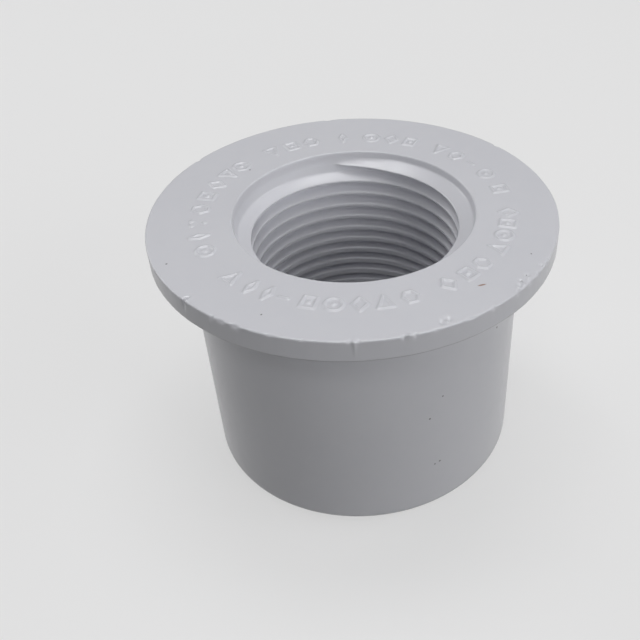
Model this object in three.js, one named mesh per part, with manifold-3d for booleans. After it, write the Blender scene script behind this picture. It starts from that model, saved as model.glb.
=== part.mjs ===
// A flanged reducing bushing for plastic pressure pipe, moulded in one piece.
//
// The spigot glues into a 1-1/2 in socket, the flange stops it at the socket's mouth, and a 1 in
// pipe with a male taper thread screws into the bore from the flange side. Millimetres, +Z up. The
// origin is the centre of the spigot's end face, on which the fitting stands, and the bore is on +Z.

import * as THREE from "three";
import { mergeVertices } from "three/addons/utils/BufferGeometryUtils.js";
import Module from "manifold-3d";

// ---- Driving dimensions ----

const SPIGOT_RADIUS = 48.26 / 2; // 1-1/2 in pipe is 1.900 in across
const SPIGOT_LENGTH = 36.5; // from the flange's shoulder to the end face
const SPIGOT_DRAFT = 0.1; // radius lost from the shoulder to the end, so that it leaves the mould
const SPIGOT_END_ROUND = 1.0; // radius of the outer edge of the end face
const SHOULDER_FILLET = 0.4; // radius of the corner between the spigot and the flange

const FLANGE_RADIUS = 29.3;
const FLANGE_THICKNESS = 3.2;
const FLANGE_EDGE_ROUND = 0.2;

const MOUTH_RADIUS = 17.82; // where the bore meets the flange's face
const MOUTH_LIP_ROUND = 0.5;

const THREAD_PITCH = 25.4 / 11.5; // 1 in taper pipe thread, 11.5 to the inch
const THREAD_FLANK_ANGLE = 30; // degrees from a plane across the bore
const THREAD_ROOT_RADIUS = 16.9; // at the flange's face
const THREAD_ROOT_TAPER = 1 / 32; // radius lost for each millimetre of depth
const THREAD_CREST_RADIUS = 15.1; // all the way down: the roots taper, so the crests grow wider
const THREAD_START_ANGLE = -15; // degrees clockwise from +Y, seen from above: whole steps
const THREAD_START_DEPTH = 1.81; // of the middle of the crest
const THREAD_TURNS = 11;
const THREAD_FADE_ANGLE = 30; // the ridge grows to its full height, and fades, over these degrees

const RELIEF_RADIUS = 19.0; // the plain bore at the spigot's end
const RELIEF_DEPTH = 9.0;
const RELIEF_EDGE_BEVEL = 0.6;

const SIDES = 72; // of every turned surface, and steps in each turn of the thread
const COLOUR = 0xe3e3e8;

const HEIGHT = SPIGOT_LENGTH + FLANGE_THICKNESS;
const PILOT_RADIUS = 12; // of the hole in the blank, which the thread tap opens up

const wasm = await Module();
wasm.setup();

// ---- Helpers ----

// Points on a quarter round, from one angle to another, both in degrees from the +r direction.
function roundedCorner(r, z, radius, from, to, steps) {
  const points = [];
  for (let i = 0; i <= steps; i++) {
    const angle = THREE.MathUtils.degToRad(from + ((to - from) * i) / steps);
    points.push(new THREE.Vector2(r + radius * Math.cos(angle), z + radius * Math.sin(angle)));
  }
  return points;
}

// The solid inside a closed geometry.
function solidFrom(geometry) {
  geometry.deleteAttribute("normal");
  geometry.deleteAttribute("uv");
  const merged = mergeVertices(geometry, 1e-4);
  return new wasm.Manifold(
    new wasm.Mesh({
      numProp: 3,
      vertProperties: new Float32Array(merged.getAttribute("position").array),
      triVerts: new Uint32Array(merged.index.array),
    }),
  );
}

// The geometry of a solid.
function geometryFrom(solid) {
  const mesh = solid.getMesh();
  const geometry = new THREE.BufferGeometry();
  geometry.setAttribute("position", new THREE.BufferAttribute(mesh.vertProperties, 3));
  geometry.setIndex(new THREE.BufferAttribute(mesh.triVerts, 1));
  geometry.computeVertexNormals();
  return geometry;
}

// ---- The turned blank ----

// The half section as one closed loop: up the bore, out along the flange's face, down the outside
// and back across the end face. A cone joins each end of the bore to the pilot hole, and the tap
// cuts through both cones.
function turnedBlank() {
  const rim = FLANGE_RADIUS - FLANGE_EDGE_ROUND;
  const shoulder = SPIGOT_RADIUS + SHOULDER_FILLET;
  const end = SPIGOT_RADIUS - SPIGOT_DRAFT - SPIGOT_END_ROUND;
  const lipBottom = HEIGHT - MOUTH_LIP_ROUND;
  const mouthWall = MOUTH_RADIUS - MOUTH_LIP_ROUND;
  const coneRise = (RELIEF_RADIUS - PILOT_RADIUS) * 0.8;
  const coneDrop = (mouthWall - PILOT_RADIUS) * 2;
  const profile = [
    new THREE.Vector2(RELIEF_RADIUS + RELIEF_EDGE_BEVEL, 0),
    new THREE.Vector2(RELIEF_RADIUS, RELIEF_EDGE_BEVEL),
    new THREE.Vector2(RELIEF_RADIUS, RELIEF_DEPTH),
    new THREE.Vector2(PILOT_RADIUS, RELIEF_DEPTH + coneRise),
    new THREE.Vector2(PILOT_RADIUS, lipBottom - coneDrop),
    ...roundedCorner(MOUTH_RADIUS, lipBottom, MOUTH_LIP_ROUND, 180, 90, 3),
    ...roundedCorner(rim, HEIGHT - FLANGE_EDGE_ROUND, FLANGE_EDGE_ROUND, 90, 0, 1),
    ...roundedCorner(rim, SPIGOT_LENGTH + FLANGE_EDGE_ROUND, FLANGE_EDGE_ROUND, 0, -90, 1),
    ...roundedCorner(shoulder, SPIGOT_LENGTH - SHOULDER_FILLET, SHOULDER_FILLET, 90, 180, 2),
    ...roundedCorner(end, SPIGOT_END_ROUND, SPIGOT_END_ROUND, 0, -90, 3),
  ];
  profile.push(profile[0].clone());
  profile.reverse();
  const geometry = new THREE.LatheGeometry(profile, SIDES);
  geometry.rotateX(Math.PI / 2);
  return solidFrom(geometry);
}

// ---- The thread ----

function rootRadius(depth) {
  return THREAD_ROOT_RADIUS - THREAD_ROOT_TAPER * depth;
}

// How much of its full height the ridge has, so many turns after its start.
function ridgeHeight(turns) {
  const fadeTurns = THREAD_FADE_ANGLE / 360;
  const nearestEnd = Math.min(turns, THREAD_TURNS - turns);
  return THREE.MathUtils.smoothstep(nearestEnd, 0, fadeTurns);
}

// The tap is the space inside the bore, as a solid. Its surface is one helical strip, three points
// wide: the upper and lower edges of the ridge's crest, and the root below them. The strip's next
// turn starts where this one ends. Right-hand: it goes down as it turns clockwise from above.
function threadTap() {
  const turnsAbove = 2; // of plain strip, so that the tap stands clear of the flange's face
  const turnsBelow = 3; // and clear of the relief's cone
  const stripWidth = 3;
  const firstStep = -turnsAbove * SIDES;
  const stepCount = (turnsAbove + THREAD_TURNS + turnsBelow) * SIDES;
  const startStep = Math.round((THREAD_START_ANGLE * SIDES) / 360);
  const flankSlope = Math.tan(THREE.MathUtils.degToRad(THREAD_FLANK_ANGLE));
  const positions = [];
  const faces = [];

  for (let step = 0; step <= stepCount + SIDES; step++) {
    const turns = (firstStep + step) / SIDES;
    const angle = 2 * Math.PI * (turns + startStep / SIDES);
    const crestDepth = THREAD_START_DEPTH + THREAD_PITCH * turns;
    const fullHeight = rootRadius(crestDepth) - THREAD_CREST_RADIUS;
    const halfCrest = THREAD_PITCH / 2 - fullHeight * flankSlope;
    const offsets = [-halfCrest, halfCrest, THREAD_PITCH / 2];
    offsets.forEach((offset, across) => {
      const depth = crestDepth + offset;
      const height = across === stripWidth - 1 ? 0 : fullHeight * ridgeHeight(turns);
      const radius = rootRadius(depth) - height;
      positions.push(radius * Math.sin(angle), radius * Math.cos(angle), HEIGHT - depth);
    });
  }

  // A point past the strip's width is the first point of the next turn.
  const point = (step, across) =>
    across < stripWidth ? step * stripWidth + across : (step + SIDES) * stripWidth;
  for (let step = 0; step < stepCount; step++) {
    for (let across = 0; across < stripWidth; across++) {
      const a = point(step, across);
      const b = point(step + 1, across);
      const c = point(step + 1, across + 1);
      const d = point(step, across + 1);
      faces.push(a, b, c, a, c, d);
    }
  }

  // Each end is closed by a fan from a point on the axis to the strip's open edge.
  const top = [];
  const bottom = [];
  for (let step = 0; step < SIDES; step++) {
    top.push(point(step, 0));
    bottom.push(point(stepCount - SIDES + step, stripWidth));
  }
  for (let across = stripWidth; across > 0; across--) {
    top.push(point(0, across));
    bottom.push(point(stepCount, across));
  }
  closeEnd(positions, faces, top, HEIGHT + 3 * THREAD_PITCH, 1);
  closeEnd(positions, faces, bottom, 0, -1);

  const geometry = new THREE.BufferGeometry();
  geometry.setAttribute("position", new THREE.Float32BufferAttribute(positions, 3));
  geometry.setIndex(faces);
  return solidFrom(geometry);
}

// Adds a point on the axis and a fan of faces from it to a loop of points.
function closeEnd(positions, faces, loop, z, facing) {
  const apex = positions.length / 3;
  positions.push(0, 0, z);
  loop.forEach((from, i) => {
    const to = loop[(i + 1) % loop.length];
    faces.push(apex, facing > 0 ? to : from, facing > 0 ? from : to);
  });
}

// ---- The part ----

const material = new THREE.MeshStandardMaterial({ color: COLOUR, roughness: 0.5, metalness: 0 });
const bushingBody = new THREE.Mesh(geometryFrom(turnedBlank().subtract(threadTap())), material);
bushingBody.name = "bushing_body";

const part = new THREE.Group();
part.add(bushingBody);

export default part;
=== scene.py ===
import math

import bmesh
import bpy
import numpy as np
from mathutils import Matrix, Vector


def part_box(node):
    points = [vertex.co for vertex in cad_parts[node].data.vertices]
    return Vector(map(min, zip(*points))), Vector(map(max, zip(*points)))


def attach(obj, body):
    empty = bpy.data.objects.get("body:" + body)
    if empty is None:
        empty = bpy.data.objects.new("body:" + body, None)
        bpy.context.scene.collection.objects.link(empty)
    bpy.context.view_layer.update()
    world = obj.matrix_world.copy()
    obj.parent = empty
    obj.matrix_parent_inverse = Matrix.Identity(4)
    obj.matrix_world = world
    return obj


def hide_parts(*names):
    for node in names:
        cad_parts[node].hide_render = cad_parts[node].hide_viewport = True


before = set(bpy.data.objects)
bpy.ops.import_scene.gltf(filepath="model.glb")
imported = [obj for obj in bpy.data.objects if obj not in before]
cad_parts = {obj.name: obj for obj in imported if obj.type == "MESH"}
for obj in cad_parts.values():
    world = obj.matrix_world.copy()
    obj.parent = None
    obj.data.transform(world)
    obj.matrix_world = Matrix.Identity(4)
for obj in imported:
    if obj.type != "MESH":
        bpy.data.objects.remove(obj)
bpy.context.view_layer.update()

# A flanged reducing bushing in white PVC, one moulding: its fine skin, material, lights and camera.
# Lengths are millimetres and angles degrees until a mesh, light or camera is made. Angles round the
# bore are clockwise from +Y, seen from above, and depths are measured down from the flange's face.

MM = 0.001

# ---- Sizes ----

LOW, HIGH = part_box("bushing_body")
HEIGHT = HIGH[2] / MM
FLANGE_RADIUS = (HIGH[0] - LOW[0]) / 2 / MM
FLANGE_THICKNESS = 3.2
FLANGE_EDGE = 0.22  # rounding
SPIGOT_RADIUS = 24.13
SPIGOT_DRAFT = 0.1
SPIGOT_END_EDGE = 1.0
SHOULDER_FILLET = 0.4
SHOULDER = HEIGHT - FLANGE_THICKNESS

MOUTH_RADIUS = 17.44  # of the wall, where its line meets the face
MOUTH_LIP = 0.28
MOUTH_EASING = 0.42  # the wall is this much wider than the thread's roots at the mouth
MOUTH_EASING_DEPTH = 2.0
RELIEF_RADIUS = 19.0
RELIEF_DEPTH = 9.0
RELIEF_EDGE = 0.6  # rounding
RELIEF_CORNER = 0.8
CONE_TOP = 11.55  # height of the top of the cone that joins the relief to the thread
CONE_CORNER = 0.3

PITCH = 25.4 / 11.5
ROOT_RADIUS = 16.9  # at the face
ROOT_TAPER = 1 / 32  # radius lost for each millimetre of depth
CREST_RADIUS = 15.1  # all the way down: the roots taper, so the crests grow wider
FLANK_SLOPE = math.tan(math.radians(30))
CREST_ROUND = 0.16
ROOT_ROUND = 0.12
THREAD_START_ANGLE = -13
THREAD_START_DEPTH = 1.82
THREAD_TURNS = 11
THREAD_FADE = 32 / 360  # turns over which the ridge rises out of the wall
THREAD_SWELL = 0.5  # under 1, the ridge rises quickly at first
TAPPED_TURNS = 12
THREAD_TOP = THREAD_START_DEPTH - PITCH / 2  # depths of the first root and the last
THREAD_BOTTOM = THREAD_TOP + PITCH * TAPPED_TURNS
LAST_CORNER = 0.46  # of a pitch, so that the sharpest crest has room for its rows

BASE_COLUMNS = 160  # round the plain turned surfaces
RIM_COLUMNS = 1120  # round the rim, where there are small knocks
FINE_COLUMNS = 1280  # round the marks

# ---- Growing the skin, ring by ring ----


class Skin:
    """Points and faces. A ring is an array of point numbers, one for each column round the bore."""

    def __init__(self):
        self.points = []
        self.faces = []
        self.count = 0

    def add(self, xyz):
        first = self.count
        self.points.append(xyz)
        self.count += len(xyz)
        return np.arange(first, self.count)

    def ring(self, columns, radius, height):
        angle = column_angles(columns)
        xyz = np.empty((columns, 3))
        xyz[:, 0] = radius * np.sin(angle)
        xyz[:, 1] = radius * np.cos(angle)
        xyz[:, 2] = height
        return self.add(xyz)

    def join(self, ring, other):
        """Faces between two rings. A finer ring has a whole number of columns for each coarse one."""
        if len(ring) == len(other):
            quads = np.stack([ring, np.roll(ring, -1), np.roll(other, -1), other], axis=1)
            self.faces.extend(quads.tolist())
            return
        fine, coarse = (ring, other) if len(ring) > len(other) else (other, ring)
        share = len(fine) // len(coarse)
        for i, near in enumerate(coarse):
            far = coarse[(i + 1) % len(coarse)]
            for j in range(share):
                apex = near if j < share // 2 else far
                a = fine[i * share + j]
                b = fine[(i * share + j + 1) % len(fine)]
                self.faces.append([apex, a, b])
            self.faces.append([near, far, fine[i * share + share // 2]])

    def loft(self, columns, section, joined_to=None):
        """Rings through the points of a half section, each joined to the one before."""
        rings = []
        for radius, height in section:
            rings.append(self.ring(columns, radius, height))
            before = rings[-2] if len(rings) > 1 else joined_to
            if before is not None:
                self.join(before, rings[-1])
        return rings


def column_angles(columns):
    return math.radians(THREAD_START_ANGLE) + 2 * math.pi * np.arange(columns) / columns


def rounded(corners, steps=4, margin=0.08):
    """A half section through (r, z, rounding) corners. The first and last stay sharp.

    A point just past each end of a rounding keeps the flat next to it flat when it is shaded."""
    points = [np.array(corners[0][:2])]
    for before, corner, after in zip(corners, corners[1:], corners[2:]):
        middle = np.array(corner[:2])
        back = np.array(before[:2]) - middle
        on = np.array(after[:2]) - middle
        back /= np.linalg.norm(back)
        on /= np.linalg.norm(on)
        half_angle = math.acos(float(np.clip(back @ on, -1, 1))) / 2
        reach = corner[2] / math.tan(half_angle)
        points.append(middle + back * (reach + margin))
        for i in range(steps + 1):
            t = i / steps
            points.append(middle + back * reach * (1 - t) ** 2 + on * reach * t**2)
        points.append(middle + on * (reach + margin))
    points.append(np.array(corners[-1][:2]))
    return points


# ---- The thread ----


def smooth_max(a, b, width):
    mix = np.clip(0.5 + 0.5 * (a - b) / width, 0, 1)
    return b + (a - b) * mix + width * mix * (1 - mix)


def root_radius(depth):
    easing = MOUTH_EASING * math.exp(-((max(depth, 0) / MOUTH_EASING_DEPTH) ** 4))
    return ROOT_RADIUS - ROOT_TAPER * depth + easing


def rows_in_a_pitch(turns):
    """Where the rows lie, as fractions of a pitch from one root to the next.

    They are close together at both corners of the crest, which spread apart with depth."""
    full = root_radius(THREAD_START_DEPTH + PITCH * turns) - CREST_RADIUS
    corner = min(full * FLANK_SLOPE / PITCH, LAST_CORNER)
    down_to_crest = [0, 0.05, 0.12, corner / 2 + 0.04, corner - 0.033, corner - 0.008, corner + 0.028]
    down_from_crest = [0.975 - corner, 1.005 - corner, 1.033 - corner, 0.93]
    return down_to_crest + down_from_crest


def ridge_height(turns, phase, depth):
    """How far the ridge stands out of the wall, so many turns from its start."""
    full = root_radius(depth) - CREST_RADIUS
    from_root = PITCH * (0.5 - abs(phase - 0.5))
    topped = -smooth_max(-from_root / FLANK_SLOPE, -full, CREST_ROUND)
    nearest_end = min(turns, THREAD_TURNS - turns)
    risen = np.clip(nearest_end / THREAD_FADE, 0, 1) ** THREAD_SWELL
    return smooth_max(topped - (1 - risen) * full, 0.0, ROOT_ROUND)


def bore_column(skin, column, top, bottom):
    """One column of the bore, from the top ring to the bottom one, as (row number, point) pairs."""
    angle = column_angles(BASE_COLUMNS)[column]
    rows = len(rows_in_a_pitch(0))
    share = column / BASE_COLUMNS
    too_near = 1e-6  # turns from a level ring, which already has the point
    pairs = [(-math.inf, top[column])]
    for turn in range(-1, TAPPED_TURNS):
        for j, phase in enumerate(rows_in_a_pitch(share + turn)):
            turns_down = share + turn + phase
            if not too_near < turns_down < TAPPED_TURNS - too_near:
                continue
            depth = THREAD_START_DEPTH + PITCH * (turns_down - 0.5)
            radius = root_radius(depth) - ridge_height(share + turn, phase, depth)
            xyz = [[radius * math.sin(angle), radius * math.cos(angle), HEIGHT - depth]]
            pairs.append((turn * rows + j, skin.add(np.array(xyz))[0]))
    pairs.append((math.inf, bottom[column]))
    return pairs


def zip_columns(skin, left, right):
    """Faces between two columns. A row that only one of them has makes a triangle."""
    i = j = 0
    while i < len(left) - 1 or j < len(right) - 1:
        next_left = left[i + 1][0] if i < len(left) - 1 else math.inf
        next_right = right[j + 1][0] if j < len(right) - 1 else math.inf
        a, b = left[i][1], right[j][1]
        if next_left == next_right:
            skin.faces.append([a, b, right[j + 1][1], left[i + 1][1]])
            i, j = i + 1, j + 1
        elif next_left < next_right:
            skin.faces.append([a, b, left[i + 1][1]])
            i += 1
        else:
            skin.faces.append([a, b, right[j + 1][1]])
            j += 1


def add_bore(skin, top, bottom):
    """The threaded wall between two level rings.

    Its rows follow the helix, so a turn on, each is a whole pitch lower: the last column meets the
    first with its rows counted one turn back."""
    columns = [bore_column(skin, column, top, bottom) for column in range(BASE_COLUMNS)]
    rows = len(rows_in_a_pitch(0))
    wrapped = [(row - rows, point) for row, point in columns[0]]
    for left, right in zip(columns, columns[1:] + [wrapped]):
        zip_columns(skin, left, right)


# ---- Raised marks on the flange's face ----

MARK_MIDDLE = 22.1
MARK_REACH = 1.85  # the marks lie within this much of the middle radius
MARK_SPAN = 6  # degrees each side of its middle that a mark lies within
MARK_HEIGHT = 0.165
MARK_RINGS = 33
MARKS_INSIDE = MARK_MIDDLE - MARK_REACH
MARKS_OUTSIDE = MARK_MIDDLE + MARK_REACH
DOT_RADIUS = 0.12
STROKE = 0.56  # width at the foot. Across it, a stroke is rounded


def segment(x0, y0, x1, y1):
    """Distance to a straight stroke, as a function of a place (u round the ring, v outwards)."""

    def distance(u, v):
        dx, dy = x1 - x0, y1 - y0
        t = np.clip(((u - x0) * dx + (v - y0) * dy) / (dx * dx + dy * dy), 0, 1)
        return np.hypot(u - x0 - t * dx, v - y0 - t * dy)

    return distance


def circle(radius, x=0.0, y=0.0):
    return lambda u, v: abs(np.hypot(u - x, v - y) - radius)


def dot(x, y):
    return lambda u, v: np.maximum(np.hypot(u - x, v - y) - DOT_RADIUS, 0)


def outline(*corners):
    """A closed outline of straight strokes."""
    return [segment(*a, *b) for a, b in zip(corners, corners[1:] + corners[:1])]


SHAPES = {
    "dash": [segment(-0.6, 0, 0.6, 0)],
    "dots": [dot(-0.55, 0.9), dot(0.55, 0.9), dot(0, -0.9)],
    "target": [circle(1.2), dot(0, 0)],
    "diamond": outline((0, -1.35), (1.0, 0), (0, 1.35), (-1.0, 0)),
    "lozenge": outline((0, -1.35), (0.5, 0), (0, 1.35), (-0.5, 0)),
    "square": outline((-0.9, -1.1), (0.9, -1.1), (0.9, 1.1), (-0.9, 1.1)) + [dot(0, 0)],
    "wedge": outline((-1.0, 1.2), (1.0, 1.2), (0, -1.3)),
    "hexagon": outline((-0.5, -1.1), (0.5, -1.1), (1.05, 0), (0.5, 1.1), (-0.5, 1.1), (-1.05, 0)),
}
MARKS = (
    ("diamond", 92), ("square", 99.5), ("target", 107.5), ("wedge", 116.2),
    ("hexagon", 127), ("square", 135), ("diamond", 143.8),
    ("hexagon", 158.2), ("wedge", 167), ("diamond", 175), ("target", 183.4), ("square", 191.6),
    ("dash", 200.3), ("lozenge", 206.3), ("lozenge", 213.2), ("wedge", 222),
    ("target", 241.6), ("lozenge", 251.4), ("dots", 260.5),
    ("hexagon", 270), ("square", 279.5), ("diamond", 288.5), ("wedge", 297), ("target", 304.6),
    ("wedge", 321), ("square", 329.8), ("hexagon", 338.4),
    ("lozenge", 351.9), ("target", 4), ("diamond", 12.8), ("square", 21),
    ("wedge", 35), ("hexagon", 43.5), ("dash", 52),
    ("target", 62.3), ("square", 74.6),
)


def mark_height(angle, radius):
    """Height of the marks at places on the face: angles in degrees and radii, as equal arrays."""
    height = np.zeros_like(radius)
    for shape, middle in MARKS:
        turned = (angle - middle + 180) % 360 - 180
        near = np.abs(turned) < MARK_SPAN
        u = np.radians(turned[near]) * MARK_MIDDLE
        v = radius[near] - MARK_MIDDLE
        distance = np.min([stroke(u, v) for stroke in SHAPES[shape]], axis=0)
        raised = 1 - np.clip(2 * distance / STROKE, 0, 1) ** 2
        height[near] = np.maximum(height[near], MARK_HEIGHT * raised)
    return height


def raise_marks(xyz):
    angle = np.degrees(np.arctan2(xyz[:, 0], xyz[:, 1]))
    xyz[:, 2] += mark_height(angle, np.hypot(xyz[:, 0], xyz[:, 1]))


# ---- Knocks on the rim ----

# Each is (angle, radius, depth below the face, length round the ring, width across it, how deep it
# goes, and its facing: 90 is the face, 0 the rim's side). A knock of less than no depth is a burr.
EDGE = FLANGE_RADIUS - 0.05
KNOCKS = [
    (-136.3, EDGE, 0.2, 0.20, 0.70, 0.60, 35),
    (-137.4, EDGE, 0.0, 0.22, 0.35, -0.22, 60),
    (-146.0, EDGE, 0.9, 0.18, 0.30, -0.22, 0),
    (-146.9, EDGE, 0.1, 0.30, 0.30, 0.20, 45),
    (-149.5, EDGE, 0.1, 0.80, 0.25, 0.22, 50),
    (-151.6, EDGE, 0.0, 0.40, 0.25, -0.12, 50),
    (-153.6, EDGE, 0.1, 0.70, 0.28, 0.26, 45),
    (-156.6, EDGE, 0.0, 0.40, 0.22, -0.14, 50),
    (-163.0, EDGE, 0.0, 0.50, 0.20, 0.12, 50),
    (-171.0, EDGE, 0.0, 0.30, 0.20, 0.12, 50),
    (178.0, EDGE, 0.0, 0.30, 0.30, 0.18, 60),
    (176.8, EDGE, 0.3, 0.15, 1.1, -0.24, 15),
    (175.8, EDGE, 0.0, 0.25, 0.30, 0.16, 60),
    (165.2, EDGE, 0.1, 0.30, 0.25, 0.18, 45),
    (163.9, EDGE, 0.0, 0.32, 0.34, -0.26, 60),
    (162.4, EDGE, 0.1, 0.30, 0.28, 0.20, 45),
    (157.0, EDGE, 0.1, 0.45, 0.20, 0.12, 45),
    (154.8, 28.25, 0.0, 0.40, 0.42, 0.24, 90),
    (153.8, 28.35, 0.0, 0.28, 0.25, -0.24, 90),
    (152.8, 28.05, 0.0, 0.42, 0.40, 0.26, 90),
    (147.6, EDGE, 0.0, 0.70, 0.22, 0.15, 50),
    (140.8, EDGE, 0.1, 0.35, 0.25, 0.20, 45),
    (131.8, EDGE, 0.1, 0.50, 0.35, 0.24, 45),
    (130.6, 28.75, 0.0, 0.22, 0.24, -0.16, 90),
    (129.4, 28.60, 0.0, 0.25, 0.24, 0.24, 90),
    (128.4, 28.95, 0.0, 0.22, 0.24, -0.16, 90),
    (127.5, 28.2, 0.0, 0.20, 0.20, 0.26, 90),
    (126.3, EDGE, 0.1, 0.55, 0.30, 0.24, 45),
    (125.3, 28.65, 0.0, 0.24, 0.22, -0.15, 90),
    (124.3, 28.25, 0.0, 0.30, 0.22, 0.22, 90),
    (122.0, EDGE, 0.1, 0.35, 0.30, 0.22, 45),
    (118.3, 28.85, 0.0, 0.25, 0.20, 0.22, 90),
    (116.6, EDGE, 0.1, 0.35, 0.25, 0.22, 45),
    (114.4, EDGE, 0.0, 0.30, 0.25, 0.20, 60),
    (-60.0, EDGE, 0.1, 0.40, 0.25, 0.18, 45),
    (-12.0, EDGE, 0.1, 0.60, 0.25, 0.15, 45),
    (48.0, EDGE, 0.1, 0.35, 0.25, 0.18, 45),
]


def knock_in(xyz):
    """Moves points near each knock inwards along its facing."""
    radius = np.hypot(xyz[:, 0], xyz[:, 1])
    angle = np.degrees(np.arctan2(xyz[:, 0], xyz[:, 1]))
    for middle, r, below, length, width, depth, facing in KNOCKS:
        turned = (angle - middle + 180) % 360 - 180
        along = np.radians(turned) * r
        across = np.hypot(radius - r, xyz[:, 2] - (HEIGHT - below))
        pushed = depth * np.exp(-((along / length) ** 2) - (across / width) ** 2)
        inwards = pushed * math.cos(math.radians(facing)) / np.maximum(radius, 1)
        xyz[:, 0] -= xyz[:, 0] * inwards
        xyz[:, 1] -= xyz[:, 1] * inwards
        xyz[:, 2] -= pushed * math.sin(math.radians(facing))


# Each wave of the rim is (size, how many go round, start in radians).
RIM_WAVES = ((0.012, 7, 0.6), (0.008, 23, 2.0), (0.006, 61, 0.0), (0.004, 149, 1.0))
RIM_LOSS = 0.02  # all round, so that the waves stay inside the flange's full size
WAVES_START = 28.4  # radius at which the waves start, and how far out they are whole
WAVES_BLEND = 0.9


def rim_waviness(xyz):
    """The flange's edge isn't quite round after trimming."""
    angle = np.arctan2(xyz[:, 0], xyz[:, 1])
    radius = np.hypot(xyz[:, 0], xyz[:, 1])
    share = np.clip((radius - WAVES_START) / WAVES_BLEND, 0, 1)
    wave = sum(size * np.sin(count * angle + start) for size, count, start in RIM_WAVES)
    xyz[:, 0] -= xyz[:, 0] / radius * share * (wave + RIM_LOSS)
    xyz[:, 1] -= xyz[:, 1] / radius * share * (wave + RIM_LOSS)


# ---- The whole moulding ----


# The skin goes out from the mouth over the face, round the rim, down the spigot and up the bore.
# Where the columns change in number, a plain gap is left for the faces that join them.

FACE_ROWS = (27.3, 27.7, 28.0, 28.25, 28.5, 28.75)  # radii near the rim, close where the knocks are
TOP_EDGE_INSIDE = 28.9
SIDE_ROWS = (0.7, 1.3, 2.2)  # depths on the flange's side
GAP_AT_MARKS = 0.2
GAP_AT_RIM = 0.3


def mouth_section():
    """From the thread's first root, up the mouth's wall and over its lip."""
    corners = [
        (root_radius(THREAD_TOP), HEIGHT - THREAD_TOP, 0),
        (MOUTH_RADIUS, HEIGHT, MOUTH_LIP),
        (MARKS_INSIDE - GAP_AT_MARKS, HEIGHT, 0),
    ]
    return rounded(corners, steps=6)


def marks_section():
    return [(r, HEIGHT) for r in np.linspace(MARKS_INSIDE, MARKS_OUTSIDE, MARK_RINGS)]


def plain_section():
    return [(MARKS_OUTSIDE + GAP_AT_MARKS, HEIGHT), (FACE_ROWS[0] - GAP_AT_RIM, HEIGHT)]


def rim_section():
    """The outside of the face, the flange's side and the edge under it."""
    top_edge = [
        (TOP_EDGE_INSIDE, HEIGHT, 0),
        (FLANGE_RADIUS, HEIGHT, FLANGE_EDGE),
        (FLANGE_RADIUS, HEIGHT - SIDE_ROWS[0], 0),
    ]
    low_edge = [
        (FLANGE_RADIUS, HEIGHT - SIDE_ROWS[2], 0),
        (FLANGE_RADIUS, SHOULDER, FLANGE_EDGE),
        (FLANGE_RADIUS - 2 * GAP_AT_RIM, SHOULDER, 0),
    ]
    face = [(r, HEIGHT) for r in FACE_ROWS]
    side = [(FLANGE_RADIUS, HEIGHT - SIDE_ROWS[1])]
    top = rounded(top_edge, steps=3, margin=0.1)
    low = rounded(low_edge, steps=2, margin=0.1)
    return face + top + side + low


def under_section():
    """From under the flange, down the spigot, over its end and up to the thread's last root."""
    corners = [
        (FLANGE_RADIUS - 3 * GAP_AT_RIM, SHOULDER, 0),
        (SPIGOT_RADIUS, SHOULDER, SHOULDER_FILLET),
        (SPIGOT_RADIUS - SPIGOT_DRAFT, 0, SPIGOT_END_EDGE),
        (RELIEF_RADIUS, 0, RELIEF_EDGE),
        (RELIEF_RADIUS, RELIEF_DEPTH, RELIEF_CORNER),
        (root_radius(HEIGHT - CONE_TOP), CONE_TOP, CONE_CORNER),
        (root_radius(THREAD_BOTTOM), HEIGHT - THREAD_BOTTOM, 0),
    ]
    return rounded(corners, steps=5)


def build_skin():
    """The closed skin, and the numbers of its points among the marks and on the rim."""
    skin = Skin()
    mouth = skin.loft(BASE_COLUMNS, mouth_section())
    marks = skin.loft(FINE_COLUMNS, marks_section(), mouth[-1])
    plain = skin.loft(BASE_COLUMNS, plain_section(), marks[-1])
    rim = skin.loft(RIM_COLUMNS, rim_section(), plain[-1])
    under = skin.loft(BASE_COLUMNS, under_section(), rim[-1])
    add_bore(skin, mouth[0], under[-1])
    return skin, np.concatenate(marks), np.concatenate(rim)


def build_moulding():
    skin, among_marks, on_rim = build_skin()
    xyz = np.concatenate(skin.points)
    for points, changes in ((among_marks, [raise_marks]), (on_rim, [rim_waviness, knock_in])):
        moved = xyz[points]
        for change in changes:
            change(moved)
        xyz[points] = moved

    mesh = bpy.data.meshes.new("bushing_moulding")
    mesh.from_pydata((xyz * MM).tolist(), [], skin.faces)
    mesh.validate()
    mesh.shade_smooth()
    moulding = bpy.data.objects.new("bushing_moulding", mesh)
    bpy.context.scene.collection.objects.link(moulding)
    return moulding


def face_outwards(piece):
    work = bmesh.new()
    work.from_mesh(piece.data)
    bmesh.ops.recalc_face_normals(work, faces=work.faces)
    work.to_mesh(piece.data)
    work.free()


# ---- Material ----


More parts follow.
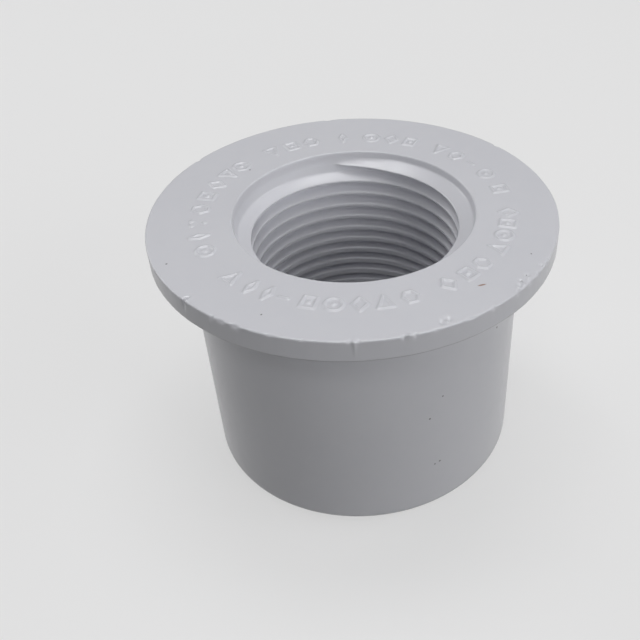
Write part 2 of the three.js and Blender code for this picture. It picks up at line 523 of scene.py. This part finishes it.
class Nodes:
    """Short calls for building a node tree."""

    def __init__(self, tree):
        self.tree = tree

    def make(self, kind, inputs=None, **settings):
        node = self.tree.nodes.new(kind)
        for name, value in settings.items():
            setattr(node, name, value)
        for key, value in (inputs or {}).items():
            self.feed(node.inputs[key], value)
        return node

    def feed(self, socket, value):
        if isinstance(value, bpy.types.NodeSocket):
            self.tree.links.new(value, socket)
        else:
            socket.default_value = value

    def math(self, operation, *values):
        return self.make(
            "ShaderNodeMath", dict(enumerate(values)), operation=operation
        ).outputs[0]

    def noise(self, place, scale, detail=2.0, roughness=0.5):
        inputs = {"Vector": place, "Scale": scale, "Detail": detail, "Roughness": roughness}
        return self.make("ShaderNodeTexNoise", inputs).outputs["Fac"]

    def ramp(self, value, low, high, to_low=0.0, to_high=1.0):
        inputs = {"Value": value, 1: low, 2: high, 3: to_low, 4: to_high}
        return self.make("ShaderNodeMapRange", inputs).outputs["Result"]

    def mix(self, share, a, b):
        node = self.make("ShaderNodeMix", data_type="RGBA")
        self.feed(node.inputs["Factor"], share)
        self.feed(node.inputs["A"], a)
        self.feed(node.inputs["B"], b)
        return node.outputs["Result"]


def on_wall(angle, radius, height):
    """A place, in metres, on the surface round the bore."""
    a = math.radians(angle)
    return (radius * math.sin(a) * MM, radius * math.cos(a) * MM, height * MM)


# Dark spots: a place and a size across. Most are specks moulded into or stuck on the plastic; three
# lie in dents in the face near the rim, at 118 to 128 degrees, and make them darker.
SPECKS = [
    (on_wall(123.0, SPIGOT_RADIUS, 28.6), 0.36),
    (on_wall(148.5, SPIGOT_RADIUS, 22.4), 0.33),
    (on_wall(153.3, SPIGOT_RADIUS, 18.9), 0.36),
    (on_wall(149.0, SPIGOT_RADIUS, 9.2), 0.40),
    (on_wall(151.0, SPIGOT_RADIUS, 9.0), 0.31),
    (on_wall(-119.3, 27.5, HEIGHT), 0.32),
    (on_wall(-157.4, 26.1, HEIGHT), 0.26),
    # These three lie in dents in the face and make them darker.
    (on_wall(127.4, 28.2, HEIGHT), 0.36),
    (on_wall(124.4, 28.1, HEIGHT), 0.33),
    (on_wall(118.3, 28.9, HEIGHT), 0.36),
    (on_wall(114.6, 26.7, HEIGHT), 0.27),
    (on_wall(-55.5, 20.3, HEIGHT), 0.33),
    (on_wall(-103.0, 29.2, HEIGHT - 0.6), 0.36),
    (on_wall(20.0, SPIGOT_RADIUS, 25.0), 0.33),
    (on_wall(-70.0, SPIGOT_RADIUS, 14.0), 0.36),
    (on_wall(78.0, SPIGOT_RADIUS, 7.5), 0.31),
]
WOBBLE = 0.00022  # metres by which the specks' outlines are uneven

SCUFF = (136.3, 25.0)  # angle and radius of a rusty scuff on the face
SCUFF_HALF = (0.62, 0.17, 0.4)  # half its length, width and depth
SCUFF_TURN = 25  # from lying along the ring

# Colours of the plastic, from cloud to cloud and in its mottles, and of the marks on it.
PVC = (0.736, 0.741, 0.788, 1)
PALER_PVC = (0.756, 0.761, 0.806, 1)
MOTTLED_PVC = (0.768, 0.770, 0.808, 1)
DARK_SPECK = (0.10, 0.095, 0.10, 1)
RUST = (0.34, 0.17, 0.10, 1)

# Scales of the noises, in cells to the metre.
CLOUDS = 70.0
MOTTLES = 520.0
GRAIN = 3800.0
UNEVENNESS = 2600.0


def make_pvc():
    material = bpy.data.materials.new("white_pvc")
    material.use_nodes = True
    tree = material.node_tree
    shader = tree.nodes["Principled BSDF"]
    n = Nodes(tree)
    place = n.make("ShaderNodeTexCoord").outputs["Object"]

    cloudy = n.noise(place, CLOUDS, 3.0)
    mottled = n.noise(place, MOTTLES)
    grainy = n.noise(place, GRAIN)
    tint = n.mix(n.ramp(cloudy, 0.3, 0.7), PVC, PALER_PVC)
    tint = n.mix(n.ramp(mottled, 0.35, 0.75, 0.0, 0.35), tint, MOTTLED_PVC)
    tint = n.mix(n.math("MULTIPLY", speck_mask(n, place), 0.75), tint, DARK_SPECK)
    tint = n.mix(n.math("MULTIPLY", scuff_mask(n, place), 0.8), tint, RUST)

    n.feed(shader.inputs["Base Color"], tint)
    n.feed(shader.inputs["Roughness"], n.ramp(mottled, 0.3, 0.7, 0.235, 0.265))
    skin = n.math("MULTIPLY_ADD", mottled, 0.4, grainy)
    bump = n.make("ShaderNodeBump", {"Height": skin, "Strength": 0.12, "Distance": 0.00003})
    n.feed(shader.inputs["Normal"], bump.outputs["Normal"])
    shader.inputs["IOR"].default_value = 1.53
    return material


def speck_mask(n, place):
    """1 on the specks, 0 elsewhere."""
    noise = n.make("ShaderNodeTexNoise", {"Vector": place, "Scale": UNEVENNESS})
    small = n.make(
        "ShaderNodeVectorMath", {0: noise.outputs["Color"], "Scale": WOBBLE}, operation="SCALE"
    ).outputs[0]
    uneven = n.make("ShaderNodeVectorMath", {0: place, 1: small}, operation="ADD").outputs[0]
    specked = 0.0
    for centre, across in SPECKS:
        shifted = tuple(c + WOBBLE / 2 for c in centre)
        away = n.make(
            "ShaderNodeVectorMath", {0: uneven, 1: shifted}, operation="DISTANCE"
        ).outputs["Value"]
        reach = across / 2 * MM
        inside = n.ramp(away, reach * 0.55, reach * 1.15, 1.0, 0.0)
        specked = n.math("MAXIMUM", specked, inside)
    return specked


def scuff_mask(n, place):
    """1 on the scuff, 0 elsewhere."""
    angle, radius = SCUFF
    centre = on_wall(angle, radius, HEIGHT)
    turned = n.make(
        "ShaderNodeVectorRotate",
        {"Vector": place, "Center": centre, "Angle": math.radians(angle + SCUFF_TURN)},
        rotation_type="Z_AXIS",
    ).outputs[0]
    away = n.make("ShaderNodeVectorMath", {0: turned, 1: centre}, operation="SUBTRACT").outputs[0]
    size = tuple(1 / (half * MM) for half in SCUFF_HALF)
    scaled = n.make("ShaderNodeVectorMath", {0: away, 1: size}, operation="MULTIPLY").outputs[0]
    length = n.make("ShaderNodeVectorMath", {0: scaled}, operation="LENGTH").outputs["Value"]
    return n.ramp(length, 0.6, 1.1, 1.0, 0.0)


FLOOR_HALF = 3.0  # metres
FLOOR_DROP = 0.05  # millimetres below the fitting's end face
FLOOR_COLOUR = (0.30, 0.30, 0.302, 1)
FLOOR_GLOW = 0.52  # it hides how unevenly the softboxes light a wide floor
WHITE = (1, 1, 1, 1)


def make_floor():
    """A pale sheet, which takes no part in lighting the fitting."""
    material = bpy.data.materials.new("pale_floor")
    material.use_nodes = True
    shader = material.node_tree.nodes["Principled BSDF"]
    shader.inputs["Base Color"].default_value = FLOOR_COLOUR
    shader.inputs["Roughness"].default_value = 0.9
    shader.inputs["Emission Color"].default_value = WHITE
    shader.inputs["Emission Strength"].default_value = FLOOR_GLOW
    mesh = bpy.data.meshes.new("floor")
    low, high = -FLOOR_HALF, FLOOR_HALF
    corners = [(low, low, 0), (high, low, 0), (high, high, 0), (low, high, 0)]
    mesh.from_pydata(corners, [], [(0, 1, 2, 3)])
    mesh.materials.append(material)
    floor = bpy.data.objects.new("floor", mesh)
    floor.location.z = -FLOOR_DROP * MM
    floor.visible_diffuse = False
    bpy.context.scene.collection.objects.link(floor)


# ---- Lights and camera ----

# Each softbox is (name, way round from the camera's side towards +X, elevation, width and height
# in metres, watts).
SOFTBOXES = (
    ("overhead", 180, 76, 0.50, 0.26, 1.90),
    ("strip", 0, 82, 0.60, 0.07, 0.60),
    ("front_high", 350, 55, 0.12, 0.12, 0.30),
    ("front", 4, 18, 0.40, 0.30, 0.98),
    ("right_front", 57, 25, 0.40, 0.40, 1.22),
    ("right", 98, 25, 0.45, 0.45, 1.00),
    ("back", 180, 10, 0.45, 0.12, 0.60),
    ("left", 242, 25, 0.45, 0.45, 1.35),
)
NOT_IN_GLOSS = ("front", "back")  # in a low view, their reflections would whiten the face
SOFTBOX_AWAY = 0.75  # metres
WORLD_GLOW = 0.62


def add_softbox(name, azimuth, elevation, width, height, watts):
    """A softbox that faces the fitting's middle."""
    light = bpy.data.lights.new(name, "AREA")
    light.shape = "RECTANGLE"
    light.size = width
    light.size_y = height
    light.energy = watts
    lamp = bpy.data.objects.new(name, light)
    lamp.visible_glossy = name not in NOT_IN_GLOSS
    around = math.radians(azimuth)
    up = math.radians(elevation)
    middle = Vector((0, 0, HEIGHT * MM / 2))
    away = Vector((math.sin(around) * math.cos(up), -math.cos(around) * math.cos(up), math.sin(up)))
    lamp.location = middle + away * SOFTBOX_AWAY
    lamp.rotation_euler = (-away).to_track_quat("-Z", "Y").to_euler()
    bpy.context.scene.collection.objects.link(lamp)


def light_the_scene():
    """Softboxes do the lighting. The pale room round them is only seen directly."""
    world = bpy.data.worlds.new("pale_room")
    world.use_nodes = True
    background = world.node_tree.nodes["Background"]
    background.inputs["Color"].default_value = WHITE
    background.inputs["Strength"].default_value = WORLD_GLOW
    bpy.context.scene.world = world
    world.cycles_visibility.diffuse = False
    world.cycles_visibility.glossy = False
    for softbox in SOFTBOXES:
        add_softbox(*softbox)


CAMERA_ELEVATION = 39.19
CAMERA_PLACE = (8.87, -105.21, 104.98)
CAMERA_LENS = 48.03
CAMERA_SENSOR = 36
CAMERA_SHIFT = -0.15  # the fitting stands left of the lens's axis


def add_camera():
    data = bpy.data.cameras.new("camera")
    data.lens = CAMERA_LENS
    data.sensor_width = CAMERA_SENSOR
    data.shift_x = CAMERA_SHIFT
    data.clip_start = 0.005
    camera = bpy.data.objects.new("camera", data)
    camera.location = [c * MM for c in CAMERA_PLACE]
    camera.rotation_euler = (math.radians(90 - CAMERA_ELEVATION), 0, 0)
    bpy.context.scene.collection.objects.link(camera)
    bpy.context.scene.camera = camera


add_camera()
light_the_scene()
make_floor()
bpy.context.scene.view_settings.view_transform = "Standard"

moulding = build_moulding()
face_outwards(moulding)
moulding.data.materials.append(make_pvc())
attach(moulding, "root")
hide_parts("bushing_body")
